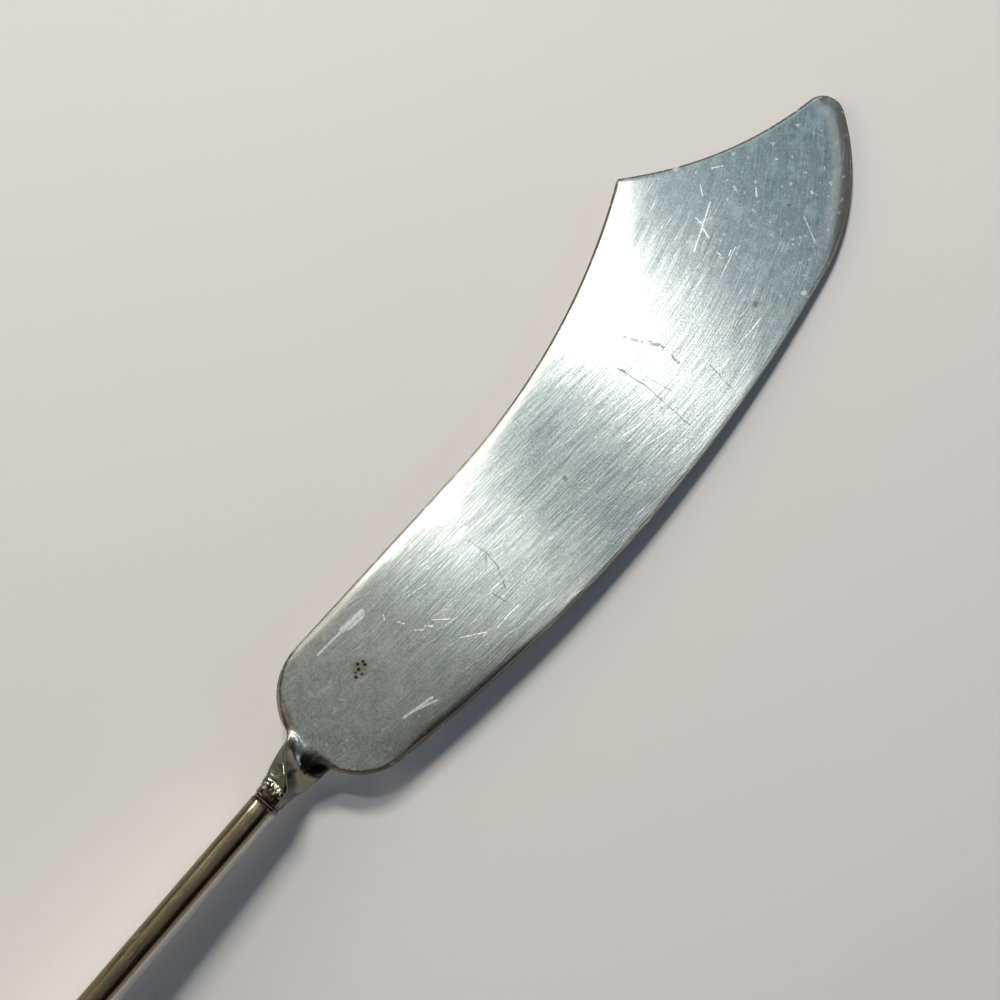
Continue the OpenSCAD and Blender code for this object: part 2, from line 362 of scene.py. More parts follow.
belly_side = chain(
    straight((seam_x, -half_w), (belly_fillet[0], -half_w), neck_steps),
    arc(belly_fillet, neck_fillet, math.pi / 2, belly_start + math.pi, fillet_steps),
    arc(heel_belly_c, heel_r, belly_start, belly_from, heel_steps),
    arc(belly_c, belly_r, belly_from, belly_to, straight_steps + bend_steps),
    arc(sweep_c, sweep_r, belly_to, sweep_to, clip_steps),
    arc(tip_c, tip_r, sweep_to, sweep_to + (point_middle - sweep_to) * tip_share, tip_steps),
)
print("outline points", len(back_side), len(belly_side), "tip at", np.round(back_side[-1], 2))

# %% [markdown]
# ## From two edges to a solid
# A leaf of metal between two edges can be modelled as one grid that is wrapped round its cross section: over
# the top, round one edge, back along the underside and round the other edge. `create_grid` makes the faces,
# each vertex is then moved to its place, and merging the doubles closes the wrap. The columns crowd together
# near the edges, where the metal rolls off. The ends stay open for now.

# %% Rings of a leaf
near_edge = np.array([0.0, 0.02, 0.06, 0.12, 0.2, 0.3, 0.42, 0.58, 0.78, 1.05, 1.4, 1.9])
crowded_share = 0.4
middle_columns = 22


def columns_across(width):
    """Distances from one edge to the other, crowded at both."""
    start = near_edge * min(1.0, crowded_share * width / near_edge[-1])
    inner = np.linspace(start[-1], width - start[-1], middle_columns + 2)[1:-1]
    return np.r_[start, inner, width - start[::-1]]


def leaf_places(left, right):
    """Plan position of every vertex of the wrapped grid, one row a ring, with +1 on top and -1 below."""
    rings = []
    for a, b in zip(left, right):
        width = np.hypot(*(b - a))
        over = a + (columns_across(width) / width)[:, None] * (b - a)
        rings.append(np.vstack([over, over[::-1]]))
    plan = np.array(rings)
    half = plan.shape[1] // 2
    side = np.r_[np.ones(half), -np.ones(half)]
    return plan, np.broadcast_to(side, plan.shape[:2])


def distance_to(points, line):
    """Distance of each point to a chain of points, in the plane of the leaf."""
    flat = points.reshape(-1, 2)
    best = np.full(len(flat), np.inf)
    for a, b in zip(line[:-1], line[1:]):
        way = b - a
        share = np.clip(((flat - a) @ way) / (way @ way), 0.0, 1.0)
        best = np.minimum(best, np.hypot(*(flat - a - share[:, None] * way).T))
    return best.reshape(points.shape[:2])


# %% Wrapped grid
weld = 0.001 * mm


def placed(points):
    """Millimetres in the knife's frame to metres on the table."""
    flat = np.c_[points.reshape(-1, 3), np.ones(points.size // 3)] @ np.array(lying).T
    return (flat[:, :3] * to_metres).reshape(points.shape)


def wrapped_grid(points, maps, **shares):
    """Closed tube through rings of points, with named UV maps and other values for each vertex."""
    rings, around = points.shape[:2]
    mesh = bmesh.new()
    bmesh.ops.create_grid(mesh, x_segments=rings - 1, y_segments=around, size=1.0)
    layouts = {mesh.loops.layers.uv.new(name): spots for name, spots in maps.items()}
    layers = {name: mesh.verts.layers.float.new(name) for name in shares}
    spot = {}
    for v in mesh.verts:
        ring, column = (v.co.x + 1) / 2 * (rings - 1), (v.co.y + 1) / 2 * around
        spot[v] = (round(ring), round(column) % around)
    for face in mesh.faces:
        for loop in face.loops:
            for uv, spots in layouts.items():
                loop[uv].uv = spots[spot[loop.vert]]
    for v, (i, j) in spot.items():
        v.co = points[i, j]
        for name, layer in layers.items():
            v[layer] = shares[name][i, j]
    bmesh.ops.remove_doubles(mesh, verts=mesh.verts, dist=weld)
    return mesh


# %% [markdown]
# ## Blade and neck
# Blade and neck are one piece on the real knife: a stamped blank whose stem was heated and twisted. So they
# are one wrapped grid here, whose shape is worked out in three steps: edges, height and twist. First the
# edges. The faces stay flat up to a narrow margin, where they roll off. It is wider along the hollow back, at
# the heel's lower corner and most of all round the tip. On the neck it is only the small radius of a corner,
# which grows near the seam, where the section takes the rounder shape of the handle. `fade` moves from one of
# these widths to the next, between two places along the blade in millimetres.

# %% Rolled edges
back_margin, back_wider, heel_wider = 0.45, 0.5, 0.6
belly_margin, corner_wider, tip_wider = 0.38, 0.5, 1.4
seam_margin, seam_drop = 0.85, 0.5


def fade(value, start, end):
    """0 at the start, 1 at the end, smooth between the two."""
    share = np.clip((value - start) / (end - start), 0.0, 1.0)
    return share * share * (3 - 2 * share)


def rolled(distance, roll, drop):
    """Height that a face loses at a distance from its edge."""
    return drop * (1 - np.sqrt(1 - np.clip(1 - distance / roll, 0.0, 1.0) ** 2))


plan, side = leaf_places(back_side, belly_side)
x, y = plan[..., 0], plan[..., 1]
to_back, to_long_back = distance_to(plan, back_side), distance_to(plan, long_back)
to_belly = distance_to(plan, np.vstack([belly_side, back_side[-1:]]))
strip, by_seam = fade(x, 1.2, -1.2), fade(x, -3.2, -5.2)


def on_neck(margin):
    """Narrows a margin to the neck's corner, and widens it by the seam."""
    margin = margin + (neck_corner - margin) * strip
    return margin + (seam_margin - margin) * by_seam


back_roll = back_margin + back_wider * fade(x, 5.0, 11.0) * fade(x, 62.0, 59.0)
back_roll = on_neck(back_roll + heel_wider * fade(x, 2.4, 1.2))
belly_roll = belly_margin + corner_wider * fade(x, 5.0, 9.0) * fade(x, 24.0, 16.0)
belly_roll = on_neck(belly_roll + tip_wider * fade(x, 68.0, 76.0))
drop = edge_drop + seam_drop * by_seam
lost = np.maximum(rolled(to_back, back_roll, drop), rolled(to_belly, belly_roll, drop))
print("margins up to", round(float(back_roll.max()), 2), "and", round(float(belly_roll.max()), 2), "mm")

# %% [markdown]
# ## Slopes, swelling and bead
# The top isn't quite flat either: years of polishing left shallow slopes to the hollow back and to the belly
# by the heel. Behind the heel the strip swells to its full thickness, and close to the seam a low, lumpy bead
# of solder runs round it. At the seam itself the rim is rounded.

# %% Height of the blade
slope_deep, back_reach, belly_reach = 0.09, 3.0, 3.2
swell_wide, swell_full = 4.2, 1.8
bead_x, bead_half, bead_rise = -4.3, 0.55, 0.08
lump_share, lump_rate, lump_shift = 0.45, 5.0, 2.0


def rim(d):
    """How far a rounded rim draws in at a distance from the end face."""
    inside = np.clip(seam_round - d, 0.0, seam_round)
    return seam_round - np.sqrt(seam_round ** 2 - inside ** 2)


by_back = np.clip(1 - to_long_back / back_reach, 0.0, 1.0) ** 2 * fade(x, 14.0, 36.0)
by_belly = np.clip(1 - to_belly / belly_reach, 0.0, 1.0) ** 2 * fade(x, 2.5, 5.5) * fade(x, 26.0, 16.0)
slope = slope_deep * (by_back + by_belly) * (side > 0)
swell = fade(x, fold_from, fold_from - fold_len) * fade(np.abs(y), swell_wide, swell_full)
half_thick = blade_t / 2 + (neck_t - blade_t) / 2 * swell
bead = fade(np.abs(x - bead_x), bead_half, 0.0)
bead_high = bead_rise * bead * (1 + lump_share * np.sin(lump_rate * y + lump_shift * side))
rim_in = rim(x - seam_x)
z = side * (half_thick - lost - slope - rim_in) * (1 + bead_high / half_thick)
print("thickest", round(float(z.max() * 2), 2), "mm, bead", round(float(bead_high.max()), 2), "mm high")

# %% [markdown]
# ## Twist
# The quarter turn is the knife's own mark. Each ring of the grid turns about the handle's axis, smoothly from
# the blade's small lean to upright, as the smith's tongs turned the hot strip. The blade's swing to the belly
# fades in at the heel, so that the neck stays in line with the handle.

# %% Twist of the neck
turn = lean + (math.pi / 2 - lean) * fade(x, twist_ahead, twist_ahead - twist_len)
swing_here = swing * fade(x, -1.0, 2.0)
plan_x = x * np.cos(swing_here) + y * np.sin(swing_here)
plan_y = (y * np.cos(swing_here) - x * np.sin(swing_here)) * (1 + (bead_high - rim_in) / half_w)
turned_y = plan_y * np.cos(turn) - z * np.sin(turn)
turned_z = plan_y * np.sin(turn) + z * np.cos(turn)
blade_points = np.stack([plan_x, turned_y, turned_z], axis=-1)
print("blade grid", blade_points.shape)

# %% [markdown]
# ## Shares
# A finish has to know where it is: on an edge darkened by wear and painted shade, on the neck, by the seam or
# in the margin round the tip.
# An image could say so. Here each vertex keeps shares instead, values from 0 to 1 that are worked out from
# the same distances as the shape, so they follow it when a size changes.

# %% Shares of the blade
# The dark brown edge is partly worn plate and partly painted shade of the rolled edge, wider near the heel.
dark_edge, heel_darker, edge_fade = 0.17, 0.22, 0.12
heel_mottle, tip_mottle = 0.45, 1.0
dark_width = dark_edge + heel_darker * fade(x, 5.5, 2.5) * fade(y, -3.0, 0.0)
even = 1 - fade(x, 6.0, 20.0) * fade(x, 69.0, 54.0)
blade_shares = {
    "worn_and_shaded_edge": fade(np.minimum(to_back, to_belly), dark_width + edge_fade, dark_width),
    "neck": fade(x, 1.5, -1.5),
    "even": even,
    "mottled": even * (heel_mottle + (tip_mottle - heel_mottle) * fade(x, 40.0, 50.0)),
    "seam": fade(x, seam_x + 0.65, seam_x + 0.25),
    "bead": bead,
    # Painted reflection: a cream tint along the back stands in for warm light on its rolled margin.
    "back_cream_reflection": fade(to_long_back, 1.8, 0.0),
    "tip_dark": fade(x, 66.0, 72.0) * fade(to_belly, 1.2, 0.7),
    "tip_pale": fade(x, 68.0, 74.0) * fade(to_belly, 0.8, 1.3) * fade(to_belly, 2.4, 1.7),
}
print("shares", {name: round(float(values.mean()), 2) for name, values in blade_shares.items()})

# %% [markdown]
# ## Marks on the blade
# The blade was used for years, and some of its marks are as much its own as its outline: two bundles of long
# scratches, wandering dark lines, smudges, and a stain with corrosion pits near the heel. Noise can't put
# them in their places, so the lists below do it one by one, in millimetres of the blade's plan. A mark that
# is drawn gives its two ends and its half width, a round one its middle and its radius.

# %% Marks on the blade
white_marks = [
    ((60.3, 4.8), (65.3, 6.9), 0.12), ((63.1, 7.0), (63.0, 5.8), 0.09), ((62.8, 5.9), (62.4, 4.7), 0.13),
    ((62.8, 6.4), (64.1, 5.8), 0.06), ((66.0, 8.8), (65.3, 7.9), 0.09), ((69.5, 4.5), (68.9, 3.9), 0.13),
    ((70.5, -0.9), (69.2, -3.4), 0.06), ((60.1, 1.2), (63.5, 2.1), 0.06), ((68.1, 9.1), (69.1, 8.4), 0.08),
    ((61.8, 3.0), (61.8, 2.7), 0.12), ((62.3, 2.0), (62.9, 2.2), 0.10), ((7.1, 5.4), (11.5, 5.2), 0.17),
    ((10.3, 5.3), (12.7, 5.1), 0.40), ((10.7, 4.9), (12.5, 4.7), 0.20), ((8.1, -4.3), (11.2, -5.0), 0.20),
    ((9.0, -4.5), (11.3, -5.5), 0.15), ((17.0, -3.3), (18.9, -4.7), 0.08), ((13.8, 3.4), (13.5, 3.0), 0.10),
    ((14.2, 2.0), (14.5, 1.4), 0.09), ((14.7, 0.3), (15.3, -0.3), 0.09), ((15.6, -0.1), (16.1, -0.7), 0.13),
    ((16.5, -0.3), (17.6, -1.4), 0.07), ((20.0, -5.2), (21.7, -5.2), 0.08),
    # The last mark, a round dot on the clip edge by the corner, is a painted glint on a burr.
    ((21.7, -5.2), (23.0, -5.3), 0.06), ((65.6, 11.7), (65.8, 11.7), 0.45),
]
dark_marks = [
    ((23.2, -0.9), (24.5, 0.2), 0.06), ((24.5, 0.2), (24.3, -1.3), 0.06), ((24.3, -1.3), (23.2, -3.4), 0.06),
    ((22.0, -2.8), (22.3, -4.4), 0.06), ((24.2, 2.3), (24.5, 0.3), 0.05), ((46.3, 2.7), (46.8, -0.4), 0.09),
    ((46.8, -0.4), (46.7, -6.1), 0.07), ((47.6, -0.3), (48.1, -2.7), 0.06),
    ((52.6, -3.7), (52.2, -6.7), 0.07),
]
smudges = [
    ((48.9, 4.7), (50.0, 2.4), 0.24), ((50.1, 2.5), (50.9, 1.0), 0.32), ((50.9, 1.0), (50.7, -1.4), 0.22),
    ((46.3, 2.7), (46.5, 2.0), 0.2),
]
pits = [
    ((8.6, 1.7), 0.24), ((7.9, 1.4), 0.26), ((9.4, 1.9), 0.22), ((9.3, 1.6), 0.24), ((8.2, 1.7), 0.18),
    ((8.5, 1.2), 0.18), ((8.9, 2.1), 0.24),
]
spots = [((34.8, -0.6), 0.34), ((60.3, -3.1), 0.48), ((70.4, 0.9), 0.22)]
pit_stain = ((8.7, 1.8), 1.1)
# A painted dark reflection: the black patch in the fold below the heel, on the belly side.
fold_dark_reflection = ((-0.8, -2.0), 1.55)
print("marks", len(white_marks), "white", len(dark_marks), "dark", len(pits), "pits", len(spots), "spots")

# %% Mark helpers
on_flat = lying @ Matrix.Rotation(lean, 4, "X") @ Matrix.Rotation(-swing, 4, "Z")
stroke_core, dot_core = 0.25, 0.3


def vector(tree, operation, a, b=(0, 0, 0)):
    return add(tree, "VectorMath", {0: a, 1: b}, operation=operation).outputs[0]


def distance(tree, a, b):
    return add(tree, "VectorMath", {0: a, 1: b}, operation="DISTANCE").outputs["Value"]


def flat_point(spot):
    """A place of the blade's plan, on the top face as it lies on the table."""
    return (on_flat @ Vector((*spot, blade_t / 2))) * mm


def stroke(tree, place, a, b, width):
    """Nearness to the straight line between two places, 1 on the line and 0 beside it."""
    start = flat_point(a)
    way = flat_point(b) - start
    unit = tuple(way.normalized())
    from_start = vector(tree, "SUBTRACT", place, tuple(start))
    run = add(tree, "VectorMath", {0: from_start, 1: unit}, operation="DOT_PRODUCT").outputs["Value"]
    run = maths(tree, "MINIMUM", maths(tree, "MAXIMUM", run), way.length)
    foot = add(tree, "VectorMath", {0: unit, "Scale": run}, operation="SCALE").outputs[0]
    gap = distance(tree, from_start, foot)
    return between(tree, gap, stroke_core * width * mm, width * mm, 1.0, 0.0)


def dot(tree, place, spot, size):
    """Nearness to a place, 1 at its middle and 0 outside its radius."""
    gap = distance(tree, place, tuple(flat_point(spot)))
    return between(tree, gap, dot_core * size * mm, size * mm, 1.0, 0.0)


def strokes(tree, place, marks):
    return greatest(tree, [stroke(tree, place, *mark) for mark in marks])


def dots(tree, place, marks):
    return greatest(tree, [dot(tree, place, *mark) for mark in marks])


def wobble(tree, place, scale, reach):
    """The place, moved a little by noise, so that a straight line becomes an unsteady one."""
    made = add(tree, "TexNoise", {"Vector": place, "Scale": scale, "Detail": 1.0})
    shift = vector(tree, "SUBTRACT", made.outputs["Color"], (0.5, 0.5, 0.5))
    return vector(tree, "ADD", place, vector(tree, "MULTIPLY", shift, (reach, reach, reach)))


# %% [markdown]
# ## Grain of the silver plate
# The blade was polished along its length, so the plate is satin: fine lines run along the grain. They are
# noise that is stretched along a UV map which bends with the blade, in three sizes from lines to grit and
# patches. Heel and tip are worn more evenly and show a mottled grain in place of lines.

# %% Grain of the plate
plate, tree, shader = new_material("satin_silver_plate")
place = add(tree, "TexCoord").outputs["Object"]
scratch = add(tree, "UVMap", uv_map="scratch").outputs[0]
share = {name: add(tree, "Attribute", attribute_name=name).outputs["Fac"] for name in blade_shares}


def streaks(tree, grain, angle, along, across, low, high):
    """Dashes at an angle to the grain: noise with so many cells per centimetre each way, cut off."""
    turning = {"Vector": grain, "Angle": math.radians(angle)}
    turned = add(tree, "VectorRotate", turning, rotation_type="Z_AXIS").outputs[0]
    long = vector(tree, "MULTIPLY", turned, (along, across, 1.0))
    return between(tree, noise(tree, long, 1.0, 2.0, 0.6), low, high)


def mix(tree, factor, a, b):
    """Value a where the factor is 0, value b where it is 1."""
    return add(tree, "Mix", {0: factor, 2: a, 3: b}).outputs[0]


lines = streaks(tree, scratch, angle=0, along=2.0, across=75.0, low=0.34, high=0.66)
grit = streaks(tree, scratch, angle=5, along=44.0, across=95.0, low=0.38, high=0.62)
patches = streaks(tree, scratch, angle=0, along=3.0, across=9.0, low=0.30, high=0.70)
satin = plus(tree, times(tree, lines, 0.38), times(tree, grit, 0.43))
satin = plus(tree, satin, times(tree, patches, 0.19))
small_grains = times(tree, noise(tree, place, 5000.0, 3.0, 0.7), 0.7)
large_grains = times(tree, noise(tree, place, 1100.0, 4.0, 0.6), 0.3)
grains = between(tree, plus(tree, small_grains, large_grains), 0.36, 0.64, 0.25, 0.9)
satin = mix(tree, times(tree, share["even"], 0.8), satin, grains)
print("grain of the plate", len(tree.nodes), "nodes")

# %% [markdown]
# ## Scratches and stains
# Over the grain lie short dashes from washing and wiping, in four directions, a few nicks across them, pale
# flecks, and the marks of the lists. Crumbs of noise break them up, because a real scratch is never one even
# line. Each kind becomes a value from 0 to 1, which the colour and the gloss below use together.

# %% Scratches and stains
dash_kinds = [
    streaks(tree, scratch, angle=12, along=1.5, across=95.0, low=0.61, high=0.70),
    streaks(tree, scratch, angle=-3, along=2.5, across=90.0, low=0.63, high=0.72),
    streaks(tree, scratch, angle=34, along=6.0, across=80.0, low=0.69, high=0.77),
    streaks(tree, scratch, angle=20, along=28.0, across=60.0, low=0.71, high=0.77),
]
crumb_least = 0.25
crumbs = between(tree, noise(tree, place, 3600.0, 2.0), 0.30, 0.55, crumb_least, 1.0)
dashes = times(tree, greatest(tree, dash_kinds), crumbs)
dashes = times(tree, dashes, between(tree, share["even"], 0.0, 1.0, 1.0, 0.65))
nicks = streaks(tree, scratch, angle=85, along=10.0, across=80.0, low=0.65, high=0.71)
unsteady = wobble(tree, place, 900.0, 0.22 * mm)
white = strokes(tree, place, white_marks)
white = times(tree, white, between(tree, crumbs, crumb_least, 1.0, 0.6, 1.0))
dark = strokes(tree, unsteady, dark_marks)
dark = times(tree, dark, between(tree, crumbs, crumb_least, 1.0, 0.5, 1.0))
clots = between(tree, noise(tree, place, 1500.0, 3.0, 0.6), 0.44, 0.56)
smudge = times(tree, strokes(tree, unsteady, smudges), clots)
fold = between(tree, dot(tree, place, *fold_dark_reflection), 0.15, 0.70)
flecks = times(tree, between(tree, noise(tree, place, 1500.0, 2.0), 0.64, 0.71), share["mottled"])
mottle = times(tree, between(tree, noise(tree, place, 620.0, 5.0, 0.7), 0.51, 0.62), share["mottled"])
# Scratches, dashes and flecks, with the painted glint on the burr among the white marks.
scratches_and_glint = greatest(tree, [times(tree, white, 0.85), times(tree, dashes, 0.75), times(tree, flecks, 0.55)])
print("scratches and stains", len(tree.nodes), "nodes")

# %% [markdown]
# ## Colour of the blade
# The plate itself is nearly white and clouds a little, darker between the lines of the grain. The rest comes
# in layers, like coats of glaze: each has its place, how strongly it covers, and its tone. The back has a
# cream border, a painted warm reflection, and a pale and a dark margin follow the edge round the tip. The
# edges are darkened to a dark brown, partly worn plate and partly painted shade of the rolled edge. The neck
# is darker, partly tarnish and partly a painted dark reflection, and the black patch in the fold below the
# heel is a painted dark reflection. By the seam the plate turns near black: painted shade of the groove.

# %% Colour of the blade
plate_cool, plate_white, plate_dark = (0.95, 0.99, 0.96), (1.0, 1.0, 0.99), (0.39, 0.42, 0.41)
# Painted shade of the groove at the seam, on both rims.
seam_shade_tone = (0.10, 0.08, 0.05)
blade_layers = [
    (mottle, 0.8, (1.0, 0.99, 0.95)),
    # Painted reflection: the cream tint along the back.
    (share["back_cream_reflection"], 0.6, (0.88, 0.82, 0.72)),
    (share["tip_dark"], 0.8, (0.36, 0.33, 0.27)),
    (share["tip_pale"], 0.5, (0.84, 0.77, 0.68)),
    # Painted shade, partly: the edges' dark brown is part wear, part the shade of the rolled edge.
    (share["worn_and_shaded_edge"], 0.9, (0.15, 0.125, 0.09)),
    (nicks, 0.55, (0.25, 0.26, 0.25)),
    (scratches_and_glint, 1.0, (0.97, 0.97, 0.95)),
    (dark, 1.0, (0.14, 0.14, 0.13)),
    (smudge, 0.9, (0.20, 0.22, 0.21)),
    (dot(tree, unsteady, *pit_stain), 0.55, (0.40, 0.35, 0.18)),
    (dots(tree, unsteady, spots), 0.7, (0.28, 0.27, 0.20)),
    (dots(tree, unsteady, pits), 1.0, (0.03, 0.022, 0.01)),
    # Partly painted shade: the neck is darkened, part tarnish, part a painted dark reflection of the room.
    (share["neck"], 0.9, (0.165, 0.15, 0.112)),
    # Painted reflection: the black patch in the fold.
    (fold, 0.88, (0.03, 0.026, 0.022)),
    # Painted shade: the plate darkens into the seam's groove.
    (share["seam"], 0.8, seam_shade_tone),
]


def layered(tree, colour, layers):
    """The colour under layers that each have a place, a strength and a tone."""
    for amount, strength, tone in layers:
        colour = blend(tree, times(tree, amount, strength), colour, tone)
    return colour


colour = blend(tree, noise(tree, place, 160.0, 3.0), plate_cool, plate_white)
colour = blend(tree, satin, plate_dark, colour)
tree.links.new(layered(tree, colour, blade_layers), shader.inputs["Base Color"])
print("blade colour", len(blade_layers), "layers")

# %% [markdown]
# ## Gloss and relief of the blade
# Scratches along the grain stretch every highlight across it. That is what the anisotropy and the tangent
# from the UV map do. The single scratches, the painted glint on the burr and the margins round the tip are
# more matt, and the darkened edges rougher. The relief is small: fine lines on the blade, and a beaten neck
# with fine lumps on its bead.

# %% Gloss and relief of the blade
neck_rough = 0.16
beaten_deep, line_deep = 0.07 * mm, 0.0018 * mm
margin = maths(tree, "MAXIMUM", share["tip_pale"], share["tip_dark"])
matt = maths(tree, "MAXIMUM", times(tree, scratches_and_glint, 0.45), times(tree, margin, 0.22))
tree.links.new(maths(tree, "SUBTRACT", 1.0, matt), shader.inputs["Metallic"])
rough = between(tree, lines, 0.0, 1.0, 0.178, 0.198)
rough = plus(tree, rough, times(tree, scratches_and_glint, 0.1))
rough = plus(tree, rough, times(tree, share["worn_and_shaded_edge"], 0.3))
tree.links.new(mix(tree, share["neck"], rough, neck_rough), shader.inputs["Roughness"])
bead_lumps = between(tree, noise(tree, place, 1300.0, 2.0), 0.38, 0.62, 0.0, 1.5)
beaten = times(tree, noise(tree, place, 1100.0, 2.0), share["neck"])
beaten = plus(tree, beaten, times(tree, share["bead"], bead_lumps))
soft = add(tree, "Bump", {"Strength": 1.0, "Distance": beaten_deep, "Height": beaten}).outputs[0]
fine = times(tree, lines, maths(tree, "SUBTRACT", 1.0, share["even"]))
relief = {"Strength": 1.0, "Distance": line_deep, "Height": fine, "Normal": soft}
tree.links.new(add(tree, "Bump", relief).outputs[0], shader.inputs["Normal"])
tangent = add(tree, "Tangent", direction_type="UV_MAP", uv_map="grain").outputs[0]
tree.links.new(tangent, shader.inputs["Tangent"])
shader.inputs["Anisotropic"].default_value = 0.905
shader.inputs["Anisotropic Rotation"].default_value = 0.25
print("blade finish", len(tree.nodes), "nodes")


# %% [markdown]
# ## Spigot and socket
# The neck ends in a round spigot, and the handle has a drilled socket for it. Both start from the open end of
# a grid: `bridge_loops` closes the end face round a circle, and the circle's edges are drawn out along the
# axis and filled. Any other open end is filled at last, and the piece takes the place of its solid.

# %% Closing helpers
circle_points = 32
near_face = 0.5


def borders(mesh, wanted):
    """Open edges whose two ends are both wanted."""
    return [e for e in mesh.edges if e.is_boundary and all(wanted(v) for v in e.verts)]


def round_end(mesh, x_face, diameter, length):
    """Closes the open end at x_face round a circle drawn out along the axis; length is signed."""
    back_to_mm = lying.inverted() @ Matrix.Scale(1 / to_metres, 4)
    before = set(mesh.edges)
    border = borders(mesh, lambda v: abs((back_to_mm @ v.co).x - x_face) < near_face)
    on_axis = Matrix.Translation((x_face, 0, 0)) @ Matrix.Rotation(math.pi / 2, 4, "Y")
    place = Matrix.Scale(to_metres, 4) @ lying @ on_axis
    bmesh.ops.create_circle(mesh, cap_ends=False, segments=circle_points, radius=diameter / 2, matrix=place)
    circle = [e for e in mesh.edges if e not in before]
    bmesh.ops.bridge_loops(mesh, edges=border + circle)
    drawn = bmesh.ops.extrude_edge_only(mesh, edges=circle)["geom"]
    far = [g for g in drawn if isinstance(g, bmesh.types.BMVert)]
    step = lying.to_3x3() @ Vector((length, 0, 0)) * to_metres
    bmesh.ops.translate(mesh, verts=far, vec=step)
    bmesh.ops.holes_fill(mesh, edges=borders(mesh, lambda v: v in far), sides=0)


def finish_piece(mesh, name, node, material):
    """Closes the mesh and makes it the piece that stands for a solid."""
    bmesh.ops.holes_fill(mesh, edges=borders(mesh, lambda v: True), sides=0)
    bmesh.ops.recalc_face_normals(mesh, faces=mesh.faces)
    for face in mesh.faces:
        face.smooth = True
    open_edges = sum(1 for e in mesh.edges if not e.is_manifold)
    data = bpy.data.meshes.new(name)
    mesh.to_mesh(data)
    mesh.free()
    piece = bpy.data.objects.new(name, data)
    scene.collection.objects.link(piece)
    data.materials.append(material)
    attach(piece, "root")
    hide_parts(node)
    print(name, len(data.vertices), "vertices", len(data.polygons), "faces", open_edges, "open edges")


# %% [markdown]
# ## Blade piece
# Now the grid of the blade becomes a mesh. It carries two UV maps in centimetres. Both run along the blade
# and bend up towards the tip: one sets the direction of the highlights, and the other, which starts to bend
# sooner, carries the scratches.

# %% Blade piece
def grain_of(plan, z, slope, bend, start, run):
    """Centimetres along and across a grain that is straight at first and then bends up towards the tip."""
    u = np.clip((plan[..., 0] - start) / run, 0.0, 1.0)
    high = slope * plan[..., 0] + bend * run * (u ** 3 - u ** 4 / 2)
    return np.stack([plan[..., 0], plan[..., 1] - high + z], axis=-1) / 10.0


blade_maps = {
    "grain": grain_of(plan, z, slope=0.048, bend=0.41, start=55.0, run=43.5),
    "scratch": grain_of(plan, z, slope=-0.04, bend=0.85, start=42.0, run=42.0),
}
blade_mesh = wrapped_grid(placed(blade_points), blade_maps, **blade_shares)
round_end(blade_mesh, seam_x, spigot_d, -spigot_len)
finish_piece(blade_mesh, "blade_plate", "blade", plate)

# %% [markdown]
# ## Handle
# The handle is a flat bar that stands on edge. It widens in a straight taper to a round butt, and all its
# long corners are rounded. The same wrapped grid makes it, turned upright: the outline is now its side view.

# %% Handle shape
soft_down, soft_in = 0.9, 0.85
shoulder_steps, taper_steps, butt_steps, butt_share = 24, 60, 40, 0.97
bar_half = half_w + bar_rise
shoulder_r = (shoulder_len ** 2 + bar_rise ** 2) / (2 * bar_rise)
shoulder_c = np.array([handle_x - shoulder_len, bar_half - shoulder_r])
shoulder_from = angle_of(np.array([handle_x, half_w]) - shoulder_c)
butt_c = np.array([handle_x - handle_len + butt_r, 0.0])
to_shoulder = shoulder_c - butt_c
taper_at = angle_of(to_shoulder) + math.acos((butt_r - shoulder_r) / np.hypot(*to_shoulder))
normal = np.array([math.cos(taper_at), math.sin(taper_at)])
top_edge = chain(
    arc(shoulder_c, shoulder_r, shoulder_from, taper_at, shoulder_steps),
    straight(shoulder_c + shoulder_r * normal, butt_c + butt_r * normal, taper_steps),
    arc(butt_c, butt_r, taper_at, taper_at + (math.pi - taper_at) * butt_share, butt_steps),
)
low_edge = top_edge * [1, -1]
plan, side = leaf_places(top_edge, low_edge)
back = handle_x - plan[..., 0]
rim_in = rim(back)
half_thick = (bar_t + (butt_t - bar_t) * back / handle_len) / 2 - rim_in
to_rim = distance_to(plan, np.vstack([top_edge, low_edge[::-1]]))
upright = plan[..., 1] * (1 - rim_in / half_w)
sideways = -side * (half_thick - rolled(to_rim, soft_down, soft_in))
handle_points = np.stack([plan[..., 0], sideways, upright], axis=-1)
# The seam share paints the groove's shade on the handle's rim.
handle_shares = {"side_wall": fade(to_rim, 0.3, 0.9), "seam": fade(back, 0.65, 0.25)}
print("handle grid", handle_points.shape)

# %% [markdown]
# ## Polished plate on the handle
# A hand wears the handle evenly, so it has no brushed grain like the blade's, only fine scratches along the
# bar. Its two flat sides are pale, partly rubbed silver and partly a painted light reflection, while the
# narrow rounded edges are dark brown, partly tarnish and partly a painted dark reflection. By the seam the
# bar turns near black: painted shade of the groove. The finish is made with the blade's streaks and layers.

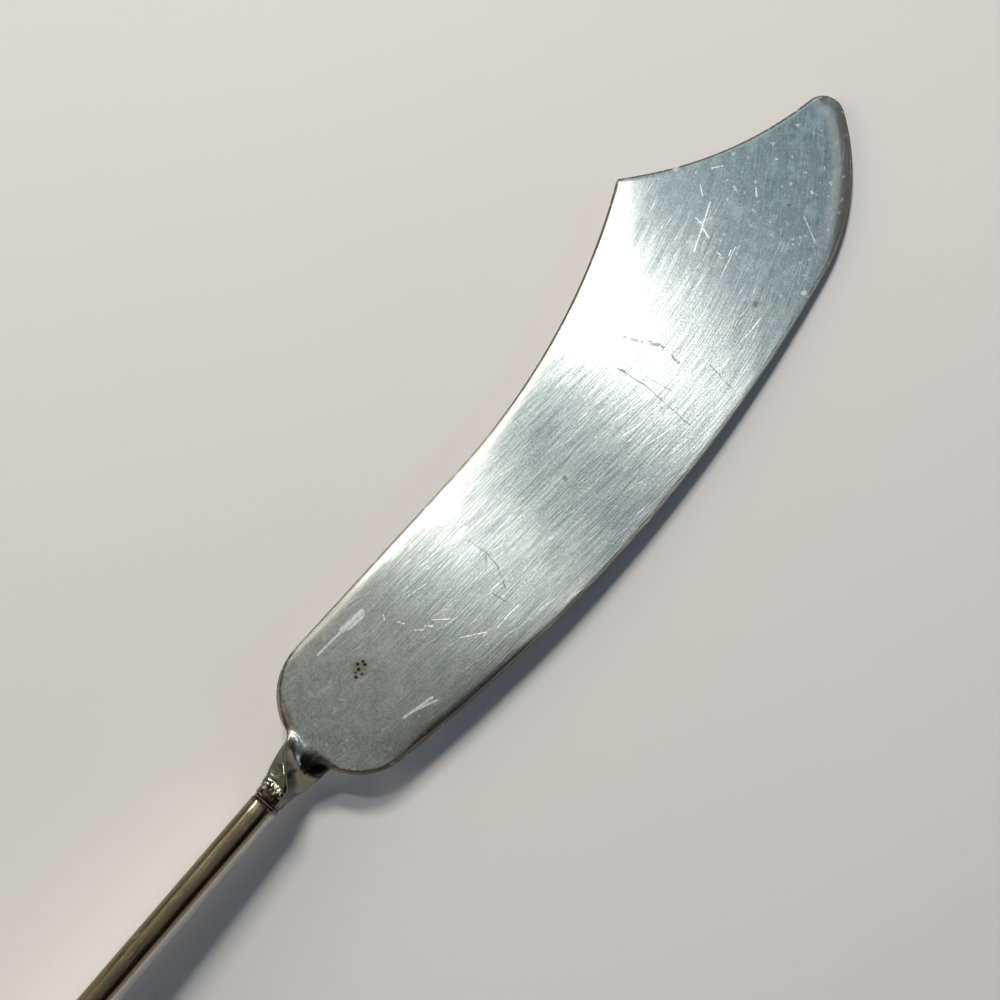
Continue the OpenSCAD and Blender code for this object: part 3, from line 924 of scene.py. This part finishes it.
# %% Handle finish
# Partly tarnish, partly painted shade: the narrow edges are darkened in place of the dark room they reflect.
tarnish_and_shade_dark, tarnish_and_shade_light = (0.20, 0.155, 0.10), (0.275, 0.215, 0.147)
wave_deep, scratch_deep = 0.010 * mm, 0.003 * mm
polish, tree, shader = new_material("tarnished_shaded_silver_plate")
place = add(tree, "TexCoord").outputs["Object"]
grain = add(tree, "UVMap", uv_map="grain").outputs[0]
share = {name: add(tree, "Attribute", attribute_name=name).outputs["Fac"] for name in handle_shares}
lines = streaks(tree, grain, angle=0, along=0.9, across=60.0, low=0.3, high=0.75)
dashes = streaks(tree, grain, angle=10, along=5.0, across=90.0, low=0.63, high=0.74)
cloud = noise(tree, place, 220.0, 4.0, 0.6)
handle_layers = [
    (lines, 0.35, (0.16, 0.125, 0.08)),
    (dashes, 0.25, (0.80, 0.75, 0.66)),
    # Partly rubbed silver, partly a painted light reflection: the pale flat sides stand in for the lit paper
    # they reflect.
    (share["side_wall"], 1.0, (0.90, 0.87, 0.80)),
    # Painted shade of the seam's groove.
    (share["seam"], 0.8, seam_shade_tone),
]
colour = blend(tree, cloud, tarnish_and_shade_dark, tarnish_and_shade_light)
tree.links.new(layered(tree, colour, handle_layers), shader.inputs["Base Color"])
rough = plus(tree, between(tree, lines, 0.0, 1.0, 0.20, 0.27), times(tree, dashes, 0.08))
rough = plus(tree, rough, between(tree, cloud, 0.3, 0.7, -0.02, 0.04))
rough = plus(tree, rough, times(tree, share["side_wall"], 0.2))
tree.links.new(rough, shader.inputs["Roughness"])
hills = noise(tree, place, 300.0, 1.0)
waves = add(tree, "Bump", {"Strength": 1.0, "Distance": wave_deep, "Height": hills}).outputs[0]
relief = {"Strength": 0.4, "Distance": scratch_deep, "Height": lines, "Normal": waves}
tree.links.new(add(tree, "Bump", relief).outputs[0], shader.inputs["Normal"])
shader.inputs["Metallic"].default_value = 1.0
print("handle finish", len(tree.nodes), "nodes")

# %% Handle piece
handle_maps = {"grain": grain_of(plan, sideways, slope=0.0, bend=0.0, start=0.0, run=1.0)}
handle_mesh = wrapped_grid(placed(handle_points), handle_maps, **handle_shares)
round_end(handle_mesh, handle_x, spigot_d + 2 * solder_gap, -(spigot_len + socket_spare))
finish_piece(handle_mesh, "handle_bar", "handle", polish)

# %% [markdown]
# ## Solder in the seam
# Hard solder holds the two parts together. Only a thin line of it shows, in the groove between the rounded
# rims. It is duller than the plate and a little uneven. Its dark tone is partly the solder's own and partly
# painted shade of the groove, and it keeps the shape of the solid model.

# %% Solder finish
# Partly the solder's own tone, partly painted shade of the groove.
solder_dark, solder_light = (0.10, 0.085, 0.06), (0.24, 0.21, 0.165)
lump_deep = 0.01 * mm
solder, tree, shader = new_material("dull_hard_solder")
place = add(tree, "TexCoord").outputs["Object"]
lumps = noise(tree, place, 2600.0, 3.0, 0.6)
tree.links.new(blend(tree, lumps, solder_dark, solder_light), shader.inputs["Base Color"])
tree.links.new(between(tree, lumps, 0.3, 0.7, 0.35, 0.55), shader.inputs["Roughness"])
bump = add(tree, "Bump", {"Strength": 0.6, "Distance": lump_deep, "Height": lumps}).outputs[0]
tree.links.new(bump, shader.inputs["Normal"])
shader.inputs["Metallic"].default_value = 1.0
joint = bpy.data.objects["solder_joint"]
joint.data.materials.clear()
joint.data.materials.append(solder)
print("solder finish on", joint.name)
